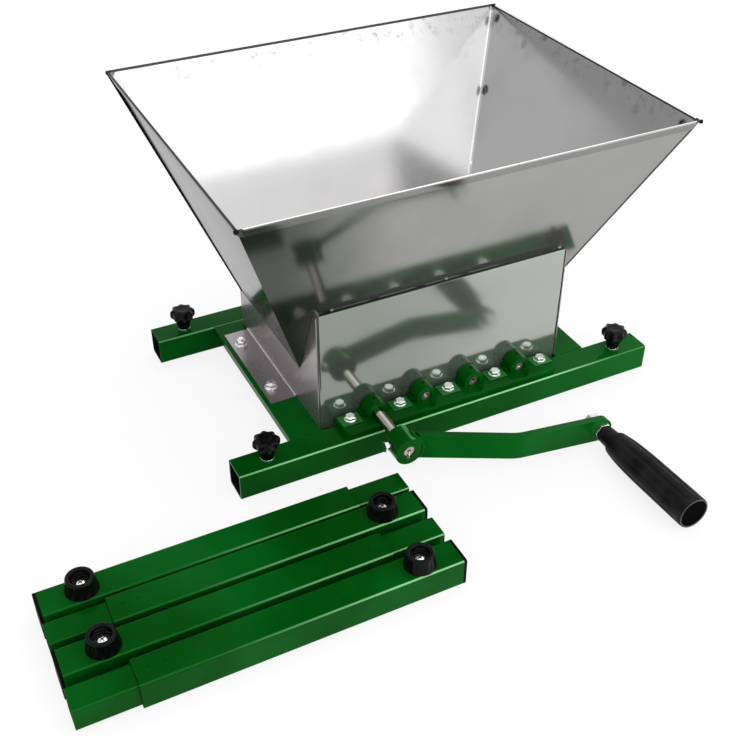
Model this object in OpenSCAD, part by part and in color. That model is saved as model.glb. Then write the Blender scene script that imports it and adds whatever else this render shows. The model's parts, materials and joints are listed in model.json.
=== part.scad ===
// Hand-cranked apple scratter: a sheet steel hopper over four geared knife rollers,
// on a frame of two square rails, with its four loose support arms laid in front.
// Millimetres, +Z up. The origin is the middle of the front rail's underside:
// +X runs along the rails to the right, +Y runs from the crank to the back.

/* [Frame] */
// Length of each rail
rail_length = 485; // [460:5:520]
// Outside size of the square rail
rail_size = 30; // [30:1:32]
// Wall of the rails and arms
tube_wall = 2; // [1.5:0.25:2]
// Distance between the rails' centre lines
rail_spacing = 250; // [250:1:252]
// Width of the flat cross bars
cross_bar_width = 35; // [30:1:35]
// Thickness of the flat cross bars
cross_bar_thickness = 8; // [5:1:10]
// Cross bar's centre line from the middle of the frame
cross_bar_offset = 159.5; // [159.5:0.5:162]

/* [Hopper] */
// Inside width of the hopper at its rim
rim_width = 466; // [440:2:480]
// Inside depth of the hopper at its rim, front to back
rim_depth = 369; // [340:1:380]
// Height of the rim above the floor
rim_height = 312; // [280:1:340]
// Inside width of the throat
throat_width = 284; // [284:1:286]
// Inside depth of the throat
throat_depth = 160; // [158:1:160]
// Height of the throat, where the sloping walls end
throat_height = 76; // [76:1:80]
// Middle of the hopper behind the front rail's centre line
hopper_y = 144.5; // [144:0.5:145]
// Thickness of the stainless sheet
sheet = 1.2; // [0.8:0.1:1.2]
// Depth of the hem folded outwards along the rim
hem_depth = 10; // [6:1:14]

/* [Gear housing] */
// Front face of the apron in front of the gears
apron_y = 19; // [19:0.5:20]
// Height of the apron's top edge
apron_top = 164; // [140:1:170]
// Depth of the sheets' bent returns
return_depth = 12; // [8:1:14]

/* [Rollers] */
// Distance from shaft to shaft
shaft_pitch = 57; // [57:1:57]
// Height of the shafts above the floor
shaft_height = 42; // [42:1:44]
// Radius of the shafts' journals
shaft_radius = 6; // [5:0.5:6]
// Radial clearance of each shaft in its bearing
bearing_gap = 0.05; // [0.03:0.01:0.08]
// Radius to the knives' tips
knife_radius = 38; // [34:1:38]
// Thickness of one knife
knife_thickness = 5; // [3:0.5:5]
// Distance from knife to knife on one roller
knife_pitch = 18; // [18:1:18]
// Teeth on one knife
knife_teeth = 6; // [4:1:8]
// Radius of the shafts' core, under the knives
core_radius = 15; // [12:1:15]

/* [Gears] */
// Teeth on each gear
gear_teeth = 19; // [19:1:19]
// Width of each gear
gear_width = 14; // [10:1:16]

/* [Bearing strips] */
// Length of each bearing strip
strip_length = 253; // [250:1:260]
// Radius of the bearing bosses
boss_radius = 12; // [10:0.5:12]

/* [Crank] */
// Distance from the drive shaft to the grip
crank_radius = 210; // [180:1:210]
// Angle of the crank below level when its grip rests on the floor
crank_drop = 8.3; // [5:0.1:8.3]
// Height of the flat arm's eye over the line from the hub
arm_rise = 3; // [0:0.5:3]
// How far the grip leans up from square to the crank's plane
grip_lean = 2; // [0:0.5:2]
// Height of the flat crank arm
arm_height = 26; // [20:1:26]
// Thickness of the flat crank arm
arm_thickness = 8; // [6:1:8]
// Length of the grip
grip_length = 138; // [110:1:140]
// Largest radius of the grip
grip_radius = 17; // [14:0.5:17]

/* [Knobs] */
// Radius over the lobes of a clamp knob
knob_radius = 14; // [12:0.5:15]
// Clamp knob's distance from the middle of its rail
knob_offset = 207.5; // [200:0.5:215]

/* [Support arms] */
// Length of an arm's outer tube
arm_tube_length = 295; // [260:1:300]
// Length of the square insert that stands out of the outer tube
insert_reach = 54; // [40:1:60]
// Outside size of the square insert
insert_size = 25; // [24:0.5:25]
// Rubber foot's centre from the arm's capped end
foot_offset = 40; // [35:1:60]

/* [Hidden] */
$fn = 48;

green_paint = [0.02, 0.28, 0.06];
stainless = [0.72, 0.72, 0.71];
zinc = [0.82, 0.83, 0.84];
bright_steel = [0.66, 0.62, 0.60];
black_plastic = [0.03, 0.03, 0.03];

// Frame
rail_centre_z = rail_size / 2;
rail_corner = 2.5;
bar_length = rail_spacing - rail_size;

// Hopper walls: lean of the front and rear walls, and of the side walls, from upright
wall_rise = rim_height - throat_height;
front_lean = atan((rim_depth - throat_depth) / 2 / wall_rise);
side_lean = atan((rim_width - throat_width) / 2 / wall_rise);
seam_gap = 0.3;

// Box under the hopper: outer faces of the side plates and of the two end plates
side_x = throat_width / 2 + sheet / cos(side_lean);
rear_y = rail_spacing - apron_y;
box_floor = rail_size;
end_plate_floor = rail_size - 7;
plate_gap = 0.2;
flange_width = 29;
flange_length = 138;

// Shafts
shaft_x = [for (i = [0:3]) (i - 1.5) * shaft_pitch];
shaft_hole_radius = shaft_radius + 1.2;

// Bearing strips, given for the front one: the rear one is its mirror image
strip_front = -10;
strip_back = 17.5;
strip_base = 8;
boss_front = 1;
pad_rise = 1;
bolt_y = 6.5;
shaft_recess = 3;

// Hardware: M6 bolts, washers and nuts
m6_radius = 3;
m6_flats = 10;
washer_radius = 6.5;
washer_thickness = 1.2;
head_height = 4;
nut_height = 5;
hex_factor = 1 / cos(30);
bolt_hole_radius = 3.2;
side_bolt_spacing = 87;
side_bolt_x = 161.5;

// Knife rollers
roller_front = 66;
roller_length = 162;
first_knife = 76;
knife_root = 22;

// Gears: involute teeth of 20 degrees, with play cut from each tooth's thickness
gear_y = 38;
gear_module = shaft_pitch / gear_teeth;
gear_pitch_radius = shaft_pitch / 2;
gear_base_radius = gear_pitch_radius * cos(20);
gear_tip_radius = gear_pitch_radius + 0.9 * gear_module;
gear_root_radius = gear_pitch_radius - 1.2 * gear_module;
gear_play = 0.25;
gear_hub_radius = 12;

// Crank
hub_front = -67;
hub_length = 24;
hub_radius = 15;
key_width = 4;
key_reach = 8.5;
arm_root_y = -56.5;
arm_outer_y = -94.5;
arm_bend = 108;
arm_bend_radius = 45;
eye_radius = arm_height / 2;
grip_bolt_radius = 5;
grip_nut_flats = 17;
front_nut_height = 4.7;
grip_start = arm_outer_y - arm_thickness / 2 - front_nut_height - 0.3;
grip_head_y = grip_start - 112;
grip_head_radius = 7.6;
grip_head_pocket = 8.2;
grip_plug_radius = 14.5;
crank_top_x = shaft_x[0];

// Clamp knobs and their studs
bush_flange = 1.5;
knob_base = rail_size + bush_flange + 0.3;
knob_stem = 13;
knob_head = 11;
stud_radius = 3;
stud_reach = 20;

// Support arms: centre lines in front of the frame, and the side that the cap is on
arm_y = [-85.5, -118, -153.5, -190];
arm_left_end = -454;
arm_right_end = -101.5;
cap_thickness = 3;
insert_depth = 60;
foot_height = 15;

function polar(r, a) = [r * cos(a), r * sin(a)];

// Sheet wall's outer face, front to back, at a height
function front_face_y(z) =
  hopper_y - throat_depth / 2 - (z - throat_height) * tan(front_lean) - sheet / cos(front_lean);
function rear_face_z(y) =
  throat_height + (y - hopper_y - throat_depth / 2 - sheet / cos(front_lean)) / tan(front_lean);

// Half angle of a gear tooth at radius r
function roll(a) = tan(a) * 180 / PI - a;
function tooth_half_angle(r) =
  90 / gear_teeth - gear_play / 2 / gear_pitch_radius * 180 / PI
  + roll(20) - roll(acos(gear_base_radius / r));
flank_steps = 5;
function flank_radius(i) =
  gear_base_radius + (gear_tip_radius - gear_base_radius) * i / flank_steps;

// General shapes

module rounded_square(size, r) {
  square([size, size - 2 * r], center = true);
  square([size - 2 * r, size], center = true);
  for (sx = [-1, 1], sy = [-1, 1])
    translate([sx * (size / 2 - r), sy * (size / 2 - r)])
      circle(r);
}

// Square tube along +X from the origin
module square_tube(length, size, wall, corner) {
  rotate([90, 0, 90])
    linear_extrude(length)
      difference() {
        rounded_square(size, corner);
        rounded_square(size - 2 * wall, 0.6);
      }
}

module hexagon(flats, height) {
  cylinder(r = flats / 2 * hex_factor, h = height, $fn = 6);
}

module washer(outer, inner, height) {
  difference() {
    cylinder(r = outer, h = height);
    translate([0, 0, -1])
      cylinder(r = inner, h = height + 2);
  }
}

module nut(flats, inner, height) {
  difference() {
    hexagon(flats, height);
    translate([0, 0, -1])
      cylinder(r = inner, h = height + 2);
  }
}

// Round bar along +Y from y to y + length, at shaft height
module y_bar(r, x, y, length) {
  translate([x, y, shaft_height])
    rotate([-90, 0, 0])
      cylinder(r = r, h = length);
}

// Frame

module rail(y) {
  color(green_paint)
    difference() {
      translate([-rail_length / 2, y, rail_centre_z])
        square_tube(rail_length, rail_size, tube_wall, rail_corner);
      for (sx = [-1, 1])
        translate([sx * knob_offset, y, rail_centre_z])
          cylinder(r = 4.6, h = rail_size);
      for (i = [-2:2])
        translate([i * shaft_pitch, y + (y > 0 ? -bolt_y : bolt_y), rail_centre_z])
          cylinder(r = bolt_hole_radius, h = rail_size);
    }
}

module cross_bar(x) {
  color(green_paint)
    difference() {
      translate([x - cross_bar_width / 2, rail_size / 2, rail_size - cross_bar_thickness])
        cube([cross_bar_width, bar_length, cross_bar_thickness]);
      side_bolt_places(sign(x))
        translate([0, 0, -20])
          cylinder(r = bolt_hole_radius, h = 30);
    }
}

module side_bolt_places(side) {
  for (sy = [-1, 1])
    translate([side * side_bolt_x, hopper_y + sy * side_bolt_spacing / 2, rail_size])
      children();
}

module clamp_bushes() {
  color(zinc)
    for (sx = [-1, 1], y = [0, rail_spacing])
      translate([sx * knob_offset, y, rail_size])
        difference() {
          union() {
            cylinder(r = 7, h = bush_flange);
            translate([0, 0, -tube_wall])
              cylinder(r = 4.5, h = tube_wall + 0.5);
          }
          translate([0, 0, -5])
            cylinder(r = stud_radius + bearing_gap, h = 10);
        }
}

// Box under the hopper

// Upright sheet under a sloping side wall, with an ear that closes the gear housing
module side_web() {
  front_gap_y = front_face_y(throat_height) - seam_gap;
  ear_top = apron_top - sheet - plate_gap;
  web_top = throat_height - 0.8;
  rotate([90, 0, 90])
    linear_extrude(sheet)
      polygon([
        [apron_y, box_floor], [rear_y, box_floor],
        [rear_y, rear_face_z(rear_y) - 1], [hopper_y + throat_depth / 2 + 1, web_top],
        [front_gap_y, web_top], [front_face_y(ear_top) - seam_gap, ear_top],
        [apron_y, ear_top]
      ]);
}

module right_plate() {
  color(stainless) {
    translate([side_x - sheet, 0, 0])
      side_web();
    difference() {
      translate([side_x - sheet, hopper_y - flange_length / 2, box_floor])
        cube([flange_width + sheet, flange_length, sheet]);
      side_bolt_places(1)
        translate([0, 0, -1])
          cylinder(r = bolt_hole_radius, h = 5);
    }
  }
}

// Plan outline of an end plate: a flat sheet with both ends bent back
module end_plate_outline() {
  half = side_x - sheet - plate_gap;
  bend = 2.5;
  difference() {
    union() {
      translate([-half, bend])
        square([2 * half, return_depth - bend]);
      translate([-half + bend, 0])
        square([2 * (half - bend), bend]);
      for (s = [-1, 1])
        translate([s * (half - bend), bend])
          circle(bend);
    }
    translate([-half + sheet, sheet])
      square([2 * (half - sheet), return_depth]);
  }
}

module shaft_holes(y) {
  for (x = shaft_x)
    y_bar(shaft_hole_radius, x, y - 10, 20);
}

module front_apron() {
  flange_y = front_face_y(apron_top) - seam_gap;
  half = side_x - sheet - plate_gap;
  color(stainless)
    difference() {
      union() {
        translate([0, apron_y, end_plate_floor])
          linear_extrude(apron_top - end_plate_floor)
            intersection() {
              end_plate_outline();
              translate([-half, 0])
                square([2 * half, flange_y - apron_y]);
            }
        translate([0, apron_y, end_plate_floor])
          linear_extrude(throat_height - 1 - end_plate_floor)
            end_plate_outline();
        translate([0, apron_y, apron_top - sheet])
          linear_extrude(sheet)
            polygon([
              [-half + 2.5, 0], [half - 2.5, 0],
              [half - 5, flange_y - apron_y], [5 - half, flange_y - apron_y]
            ]);
      }
      shaft_holes(apron_y);
    }
}

module rear_plate() {
  color(stainless)
    difference() {
      translate([0, rear_y, end_plate_floor])
        mirror([0, 1, 0])
          linear_extrude(throat_height - 1 - end_plate_floor)
            end_plate_outline();
      shaft_holes(rear_y);
    }
}

module inner_throat_plate() {
  half = side_x - sheet - plate_gap;
  plate_y = hopper_y - throat_depth / 2 - sheet;
  plate_floor = 8;
  color(stainless)
    difference() {
      translate([-half, plate_y, plate_floor])
        cube([2 * half, sheet, throat_height - 1 - plate_floor]);
      for (x = shaft_x)
        y_bar(shaft_hole_radius + 1.8, x, plate_y - 10, 20);
    }
}

// Hopper

// One sloping wall whose inner face starts on the X axis and leans towards -Y
module hopper_wall(bottom, top, lean) {
  slant = wall_rise / cos(lean);
  hem_start = slant - hem_depth;
  hem_bottom = bottom + (top - bottom) * hem_start / slant;
  color(stainless)
    rotate([90 + lean, 0, 0]) {
      linear_extrude(sheet)
        polygon([[-bottom / 2, 0], [bottom / 2, 0], [top / 2, slant], [-top / 2, slant]]);
      linear_extrude(2 * sheet)
        polygon([
          [-hem_bottom / 2, hem_start], [hem_bottom / 2, hem_start],
          [top / 2, slant], [-top / 2, slant]
        ]);
    }
}

module hopper_end_wall(turn) {
  lap = sheet / cos(side_lean);
  translate([0, hopper_y, throat_height])
    rotate([0, 0, turn])
      translate([0, -throat_depth / 2, 0])
        hopper_wall(throat_width + 2 * lap, rim_width + 2 * lap, front_lean);
}

module hopper_side_wall(turn) {
  translate([0, hopper_y, throat_height])
    rotate([0, 0, turn])
      translate([0, -throat_width / 2, 0])
        hopper_wall(throat_depth - 2 * seam_gap, rim_depth - 2 * seam_gap, side_lean);
}

// Bearing strips

module front_strip() {
  strip_half = strip_length / 2;
  strip_depth = strip_back - strip_front;
  corner = 6;
  color(green_paint)
    difference() {
      union() {
        translate([-strip_half + corner, strip_front, rail_size])
          cube([strip_length - 2 * corner, strip_depth, strip_base]);
        translate([-strip_half, strip_front + corner, rail_size])
          cube([strip_length, strip_depth - corner, strip_base]);
        for (s = [-1, 1])
          translate([s * (strip_half - corner), strip_front + corner, rail_size])
            cylinder(r = corner, h = strip_base);
        for (i = [-2:2])
          translate([i * shaft_pitch - 11, bolt_y - 8.5, rail_size])
            cube([22, 17, strip_base + pad_rise]);
        for (x = shaft_x) {
          y_bar(boss_radius, x, boss_front, strip_back - boss_front);
          translate([x - boss_radius - 3, boss_front + 4, rail_size])
            cube([2 * boss_radius + 6, strip_back - boss_front - 4, strip_base + 2]);
        }
      }
      for (x = shaft_x) {
        y_bar(shaft_radius + bearing_gap, x, -20, 60);
        translate([x, boss_front + 9.5, shaft_height])
          cylinder(r = 1.8, h = 20);
      }
      for (i = [-2:2])
        translate([i * shaft_pitch, bolt_y, rail_size - 1])
          cylinder(r = bolt_hole_radius, h = 20);
      translate([-strip_half - 1, strip_front - 1, 0])
        cube([strip_length + 2, strip_depth + 2, rail_size]);
    }
}

module rear_strip() {
  translate([0, rail_spacing, 0])
    mirror([0, 1, 0])
      front_strip();
}

// Bolt down through a strip into the rail, with its washer and its nut inside the rail
module strip_bolt() {
  pad_top = rail_size + strip_base + pad_rise;
  nut_top = rail_size - tube_wall;
  translate([0, 0, pad_top])
    washer(washer_radius, m6_radius + 0.1, washer_thickness);
  translate([0, 0, pad_top + washer_thickness])
    hexagon(m6_flats, head_height);
  translate([0, 0, nut_top - nut_height - 2])
    cylinder(r = m6_radius, h = pad_top + washer_thickness - nut_top + nut_height + 2);
  translate([0, 0, nut_top - nut_height])
    nut(m6_flats, m6_radius + 0.02, nut_height);
}

module strip_bolts() {
  color(zinc)
    for (i = [-2:2], y = [bolt_y, rail_spacing - bolt_y])
      translate([i * shaft_pitch, y, 0])
        strip_bolt();
}

// Bolt up through a cross bar and a side plate's flange, with washer and nut on top
module side_plate_bolts() {
  head_z = -cross_bar_thickness - head_height;
  color(zinc)
    for (s = [-1, 1])
      side_bolt_places(s) {
        translate([0, 0, head_z])
          hexagon(m6_flats, head_height);
        translate([0, 0, head_z + head_height])
          cylinder(r = m6_radius, h = cross_bar_thickness + sheet + washer_thickness + nut_height + 2);
        translate([0, 0, sheet])
          washer(washer_radius + 0.5, m6_radius + 0.1, washer_thickness);
        translate([0, 0, sheet + washer_thickness])
          nut(m6_flats, m6_radius + 0.02, nut_height);
      }
}

// Shafts, knives and gears

// Shaft turned from one bar: a thick core that the knives are pressed on, between thin journals
module turned_shaft(x, front) {
  back = rail_spacing - boss_front - shaft_recess;
  difference() {
    union() {
      y_bar(shaft_radius, x, front, back - front);
      y_bar(core_radius, x, roller_front, roller_length);
    }
    centre_drill(x, front);
  }
}

module centre_drill(x, y) {
  translate([x, y - 0.01, shaft_height])
    rotate([-90, 0, 0])
      cylinder(r1 = 2, r2 = 0.5, h = 2.5);
}

module plain_shaft(i) {
  color(bright_steel)
    turned_shaft(shaft_x[i], boss_front + shaft_recess);
}

module drive_shaft() {
  color(bright_steel)
    difference() {
      turned_shaft(crank_top_x, hub_front + 1);
      crank_place()
        key_block(key_width, hub_front - 1, hub_length + 2, key_reach);
    }
}

// One knife's outline: saw teeth that hook the way the roller turns
module knife_outline(hand) {
  step = 360 / knife_teeth;
  mirror([hand > 0 ? 0 : 1, 0])
    polygon([
      for (i = [0:knife_teeth - 1])
        each [
          polar(knife_radius, i * step), polar(knife_radius - 1.5, i * step + 7),
          polar(knife_root, i * step + 0.5 * step), polar(knife_root, i * step + 0.85 * step)
        ]
    ]);
}

// Separate discs on one shaft's core; their places alternate, so that neighbours' discs pass each other
module knives(i) {
  even = i % 2 == 0;
  knife_count = even ? 9 : 8;
  start = first_knife + (even ? 0 : knife_pitch / 2);
  color(bright_steel)
    for (k = [0:knife_count - 1])
      difference() {
        translate([shaft_x[i], start + k * knife_pitch + knife_thickness / 2, shaft_height])
          rotate([90, k * 14, 0])
            linear_extrude(knife_thickness)
              knife_outline(even ? 1 : -1);
        y_bar(
          core_radius + 0.02, shaft_x[i],
          start + k * knife_pitch - knife_thickness, 2 * knife_thickness
        );
      }
}

module gear(i) {
  step = 360 / gear_teeth;
  low = tooth_half_angle(gear_base_radius);
  color(bright_steel)
    difference() {
      union() {
        translate([shaft_x[i], gear_y + gear_width, shaft_height])
          rotate([90, 0, 0])
            linear_extrude(gear_width)
              polygon([
                for (t = [0:gear_teeth - 1])
                  each concat(
                    [polar(gear_root_radius, t * step - low)],
                    [for (k = [0:flank_steps])
                      polar(flank_radius(k), t * step - tooth_half_angle(flank_radius(k)))],
                    [for (k = [flank_steps:-1:0])
                      polar(flank_radius(k), t * step + tooth_half_angle(flank_radius(k)))],
                    [polar(gear_root_radius, t * step + low)]
                  )
              ]);
        y_bar(gear_hub_radius, shaft_x[i], gear_y, gear_width + 8);
      }
      y_bar(shaft_radius + 0.02, shaft_x[i], gear_y - 1, gear_width + 10);
    }
}

// Crank

// Places a crank piece drawn with its arm along +X and its axis along Y through the origin
module crank_place() {
  translate([crank_top_x, 0, shaft_height])
    rotate([0, crank_drop, 0])
      children();
}

// Places what is square to the arm's twisted outer end: the flat arm, the bolt in its eye, the grip
module flat_arm_place() {
  translate([0, arm_outer_y, arm_rise])
    rotate([-grip_lean, 0, 0])
      translate([0, -arm_outer_y, 0])
        children();
}

// Square block that reaches down from the shaft's axis
module key_block(width, y, length, reach) {
  translate([-width / 2, y, -reach])
    cube([width, length, reach - shaft_radius + 2.5]);
}

// Flat arm in plan: straight out from the hub, round one bend, then square to the shaft
module arm_plan() {
  half = arm_thickness / 2;
  lean = atan((arm_root_y - arm_outer_y) / arm_bend);
  centre = [arm_bend + arm_bend_radius * tan(lean / 2), arm_outer_y + arm_bend_radius];
  end = crank_radius + eye_radius;
  steps = 6;
  polygon([
    [0, arm_root_y - half / cos(lean)],
    for (i = [0:steps])
      centre + polar(arm_bend_radius + half, -90 - lean + lean * i / steps),
    [end, arm_outer_y - half],
    [end, arm_outer_y + half],
    for (i = [steps:-1:0])
      centre + polar(arm_bend_radius - half, -90 - lean + lean * i / steps),
    [0, arm_root_y + half / cos(lean)]
  ]);
}

// The flat arm with its far end rounded about the grip's bolt
module flat_arm() {
  intersection() {
    translate([0, 0, -arm_height / 2])
      linear_extrude(arm_height)
        arm_plan();
    union() {
      translate([hub_radius - 4, -150, -arm_height])
        cube([crank_radius - hub_radius + 4, 150, 2 * arm_height]);
      translate([crank_radius, -150, 0])
        rotate([-90, 0, 0])
          cylinder(r = eye_radius, h = 150);
    }
  }
}

module crank_arm() {
  color(green_paint)
    crank_place()
      difference() {
        union() {
          translate([0, hub_front, 0])
            rotate([-90, 0, 0])
              cylinder(r = hub_radius, h = hub_length);
          flat_arm_place()
            flat_arm();
        }
        translate([0, hub_front - 1, 0])
          rotate([-90, 0, 0])
            cylinder(r = shaft_radius + 0.02, h = hub_length + 2);
        key_block(key_width + 0.1, hub_front - 1, hub_length + 2, key_reach + 0.5);
        translate([-shaft_radius, hub_front + hub_length / 2 + 2, 0])
          rotate([0, -90, 0])
            cylinder(r = m6_radius + 0.02, h = 20);
        flat_arm_place()
          translate([crank_radius, -150, 0])
            rotate([-90, 0, 0])
              cylinder(r = grip_bolt_radius + 0.02, h = 150);
      }
}

module crank_key() {
  color(bright_steel)
    crank_place()
      key_block(key_width, hub_front + 0.8, hub_length - 1, key_reach);
}

module crank_set_screw() {
  color(zinc)
    crank_place()
      translate([-shaft_radius - 0.2, hub_front + hub_length / 2 + 2, 0])
        rotate([0, -90, 0]) {
          cylinder(r = m6_radius, h = 12.5);
          translate([0, 0, 11])
            hexagon(m6_flats, head_height);
        }
}

// Spindle bolt that the grip spins on, with a flat nut before the arm and a full nut behind it
module grip_bolt() {
  arm_back = arm_outer_y + arm_thickness / 2;
  arm_front = arm_outer_y - arm_thickness / 2;
  back_washer = 2;
  back_nut = 9;
  color(zinc)
    crank_place()
      flat_arm_place()
        translate([crank_radius, 0, 0])
          rotate([-90, 0, 0]) {
            translate([0, 0, grip_head_y])
              cylinder(r = grip_bolt_radius, h = arm_back + back_washer + back_nut + 2 - grip_head_y);
            translate([0, 0, grip_head_y - 5])
              cylinder(r = grip_head_radius, h = 5);
            translate([0, 0, arm_front - front_nut_height])
              nut(grip_nut_flats, grip_bolt_radius + 0.02, front_nut_height);
            translate([0, 0, arm_back])
              washer(10.5, grip_bolt_radius + 0.02, back_washer);
            translate([0, 0, arm_back + back_washer])
              nut(grip_nut_flats, grip_bolt_radius + 0.02, back_nut);
          }
}

module grip_outline() {
  neck = 9.5;
  step_radius = 12.8;
  step = 19;
  end = grip_length;
  polygon([
    [0, 0], [neck - 1, 0], [neck, 1], [neck + 0.8, step - 1.5],
    [step_radius, step], [step_radius + 1.4, step + 12], [grip_radius - 1.2, step + 27],
    [grip_radius - 0.2, step + 45], [grip_radius, step + 65], [grip_radius, end - 20],
    [grip_radius - 0.4, end - 2], [grip_radius - 1.6, end], [0, end]
  ]);
}

module grip() {
  flutes = 9;
  color(black_plastic)
    crank_place()
      flat_arm_place()
        translate([crank_radius, grip_start, 0])
          rotate([90, 0, 0])
            difference() {
              rotate_extrude()
                grip_outline();
              for (i = [0:flutes - 1])
                rotate([0, 0, i * 360 / flutes])
                  translate([grip_radius + 3.2, 0, 26])
                    cylinder(r = 4, h = grip_length - 34);
              translate([0, 0, -1])
                cylinder(r = grip_bolt_radius + bearing_gap, h = grip_length);
              translate([0, 0, grip_start - grip_head_y - 0.3])
                cylinder(r = grip_head_pocket, h = grip_length);
              translate([0, 0, grip_length - 3])
                cylinder(r = grip_plug_radius, h = 4);
            }
}

// Plug in the grip's end, which hides the bolt's head
module grip_plug() {
  press_gap = 0.02;
  color(black_plastic)
    crank_place()
      flat_arm_place()
        translate([crank_radius, grip_start - grip_length, 0])
          rotate([-90, 0, 0]) {
            translate([0, 0, 1])
              cylinder(r = grip_plug_radius - press_gap, h = 2);
            translate([0, 0, 2])
              cylinder(r = grip_head_pocket - press_gap, h = 7);
          }
}

// Clamp knobs

module knob_place(sx, y) {
  translate([sx * knob_offset, y, knob_base])
    children();
}

module knob(sx, y) {
  lobes = 6;
  lobe = 4.4;
  color(black_plastic)
    knob_place(sx, y)
      difference() {
        union() {
          cylinder(r1 = 8, r2 = 9, h = knob_stem);
          translate([0, 0, knob_stem])
            linear_extrude(knob_head - 1)
              union() {
                circle(knob_radius - lobe + 1);
                for (i = [0:lobes - 1])
                  rotate(i * 360 / lobes)
                    translate([knob_radius - lobe, 0])
                      circle(lobe);
              }
          translate([0, 0, knob_stem + knob_head - 1])
            cylinder(r1 = knob_radius - lobe + 1, r2 = knob_radius - lobe - 2, h = 1);
        }
        translate([0, 0, -1])
          cylinder(r = stud_radius + bearing_gap, h = 20);
      }
}

module stud(sx, y) {
  color(zinc)
    knob_place(sx, y)
      translate([0, 0, -stud_reach])
        cylinder(r = stud_radius, h = stud_reach + 18.5);
}

// Support arms, drawn with the capped end at the origin and the arm along +X

module arm_place(i) {
  capped_left = i % 2 == 0;
  translate([capped_left ? arm_left_end : arm_right_end, arm_y[i], rail_centre_z])
    mirror([capped_left ? 0 : 1, 0, 0])
      children();
}

module arm_tube(i) {
  color(green_paint)
    arm_place(i)
      difference() {
        translate([cap_thickness, 0, 0])
          square_tube(arm_tube_length, rail_size, tube_wall, rail_corner);
        for (d = [11, 25])
          translate([cap_thickness + arm_tube_length - d, 0, rail_size / 2 + 3.4])
            sphere(r = 4.4);
        translate([foot_offset, 0, 0])
          cylinder(r = 2.6, h = rail_size);
      }
}

module arm_insert(i) {
  color(green_paint)
    arm_place(i)
      translate([cap_thickness + arm_tube_length - insert_depth, 0, 0])
        square_tube(insert_depth + insert_reach, insert_size, tube_wall, 2);
}

module arm_cap(i) {
  plug = rail_size - 2 * tube_wall - 0.5;
  color(black_plastic)
    arm_place(i) {
      rotate([90, 0, 90])
        linear_extrude(cap_thickness)
          rounded_square(rail_size, rail_corner);
      translate([cap_thickness, 0, 0])
        difference() {
          translate([0, -plug / 2, -plug / 2])
            cube([14, plug, plug]);
          translate([-1, -plug / 2 + 2, -plug / 2 + 2])
            cube([16, plug - 4, plug - 4]);
        }
    }
}

// Tapered rubber foot with its washer and screw in the recess
module arm_foot(i) {
  seat = 5;
  color(black_plastic)
    arm_place(i)
      translate([foot_offset, 0, rail_size / 2]) {
        difference() {
          cylinder(r1 = 15, r2 = 11.8, h = foot_height);
          translate([0, 0, seat])
            cylinder(r = 8.2, h = foot_height);
          translate([0, 0, -1])
            cylinder(r = 2.6, h = 20);
        }
        translate([0, 0, seat])
          washer(7, 2.6, 1);
        translate([0, 0, seat + 1])
          cylinder(r1 = 5, r2 = 3.6, h = 2.6);
        translate([0, 0, -tube_wall - 6])
          cylinder(r = 2.5, h = seat + tube_wall + 7.5);
      }
}

rail(0);  // front_rail
rail(rail_spacing);  // rear_rail
cross_bar(-cross_bar_offset);  // left_cross_bar
cross_bar(cross_bar_offset);  // right_cross_bar
clamp_bushes();
mirror([1, 0, 0]) right_plate();  // left_side_plate
right_plate();  // right_side_plate
front_apron();
rear_plate();
inner_throat_plate();
hopper_end_wall(0);  // hopper_front
hopper_end_wall(180);  // hopper_rear
hopper_side_wall(-90);  // hopper_left
hopper_side_wall(90);  // hopper_right
front_strip();  // front_bearing_strip
rear_strip();  // rear_bearing_strip
strip_bolts();
side_plate_bolts();
drive_shaft();
plain_shaft(1);  // second_shaft
plain_shaft(2);  // third_shaft
plain_shaft(3);  // fourth_shaft
knives(0);  // knives_1
knives(1);  // knives_2
knives(2);  // knives_3
knives(3);  // knives_4
gear(0);  // gear_1
gear(1);  // gear_2
gear(2);  // gear_3
gear(3);  // gear_4
crank_arm();
crank_key();
crank_set_screw();
grip_bolt();
grip();
grip_plug();
knob(-1, 0);  // knob_front_left
knob(1, 0);  // knob_front_right
knob(-1, rail_spacing);  // knob_rear_left
knob(1, rail_spacing);  // knob_rear_right
stud(-1, 0);  // stud_front_left
stud(1, 0);  // stud_front_right
stud(-1, rail_spacing);  // stud_rear_left
stud(1, rail_spacing);  // stud_rear_right
arm_tube(0);  // support_arm_1_tube
arm_insert(0);  // support_arm_1_insert
arm_cap(0);  // support_arm_1_cap
arm_foot(0);  // support_arm_1_foot
arm_tube(1);  // support_arm_2_tube
arm_insert(1);  // support_arm_2_insert
arm_cap(1);  // support_arm_2_cap
arm_foot(1);  // support_arm_2_foot
arm_tube(2);  // support_arm_3_tube
arm_insert(2);  // support_arm_3_insert
arm_cap(2);  // support_arm_3_cap
arm_foot(2);  // support_arm_3_foot
arm_tube(3);  // support_arm_4_tube
arm_insert(3);  // support_arm_4_insert
arm_cap(3);  // support_arm_4_cap
arm_foot(3);  // support_arm_4_foot
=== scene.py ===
"""Looks of the apple scratter: painted frame, stainless hopper, black plastics, and the white studio."""

import json
import math

import bmesh
import bpy
from mathutils import Matrix, Vector

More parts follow.
